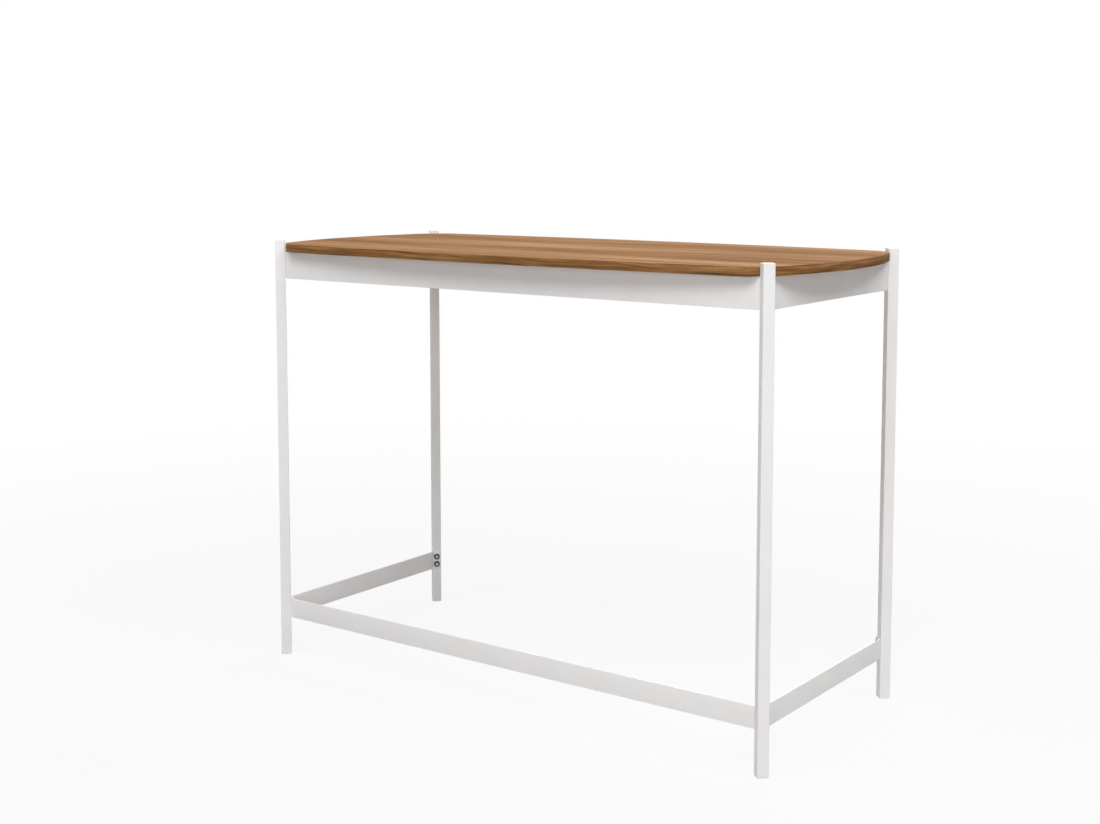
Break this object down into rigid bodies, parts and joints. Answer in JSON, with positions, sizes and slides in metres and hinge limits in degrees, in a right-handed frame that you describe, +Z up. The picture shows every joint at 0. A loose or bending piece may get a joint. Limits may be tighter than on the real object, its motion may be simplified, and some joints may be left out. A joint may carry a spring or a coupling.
{
  "type": "writing desk",
  "caption": "Writing desk: walnut-look board with gently bowed edges on slim white square-tube legs, with metal aprons under the board and low stretchers on three sides.",
  "frame": {"origin": "on the floor under the middle of the desk", "axes": "+X along the desk, +Y across it towards the open front where a person sits, +Z up"},
  "size_m": [1.065, 0.4938, 0.762],
  "materials": {
    "walnut_laminate": "satin walnut-look laminate, grain along the desk",
    "walnut_edge": "satin walnut-look edge banding, grain along the edge",
    "white_steel": "white powder coat, fine texture, satin",
    "white_plastic": "white moulded plastic, satin",
    "dark_steel": "dark zinc plated steel, satin"
  },
  "bodies": {
    "root": {"desktop_panel": "walnut_laminate", "corner_edge_bands": "walnut_edge", "edge_band_back": "walnut_edge", "apron_back": "white_steel", "edge_band_right": "walnut_edge", "apron_right": "white_steel", "edge_band_front": "walnut_edge", "apron_front": "white_steel", "edge_band_left": "walnut_edge", "apron_left": "white_steel", "stretcher_back": "white_steel", "stretcher_right": "white_steel", "stretcher_left": "white_steel", "leg_back_left": "white_steel", "leg_cap_back_left": "white_plastic", "foot_glide_back_left": "white_plastic", "leg_back_right": "white_steel", "leg_cap_back_right": "white_plastic", "foot_glide_back_right": "white_plastic", "leg_front_right": "white_steel", "leg_cap_front_right": "white_plastic", "foot_glide_front_right": "white_plastic", "leg_front_left": "white_steel", "leg_cap_front_left": "white_plastic", "foot_glide_front_left": "white_plastic", "upper_bolts": "dark_steel", "lower_bolts": "dark_steel"}
  },
  "joints": []
}
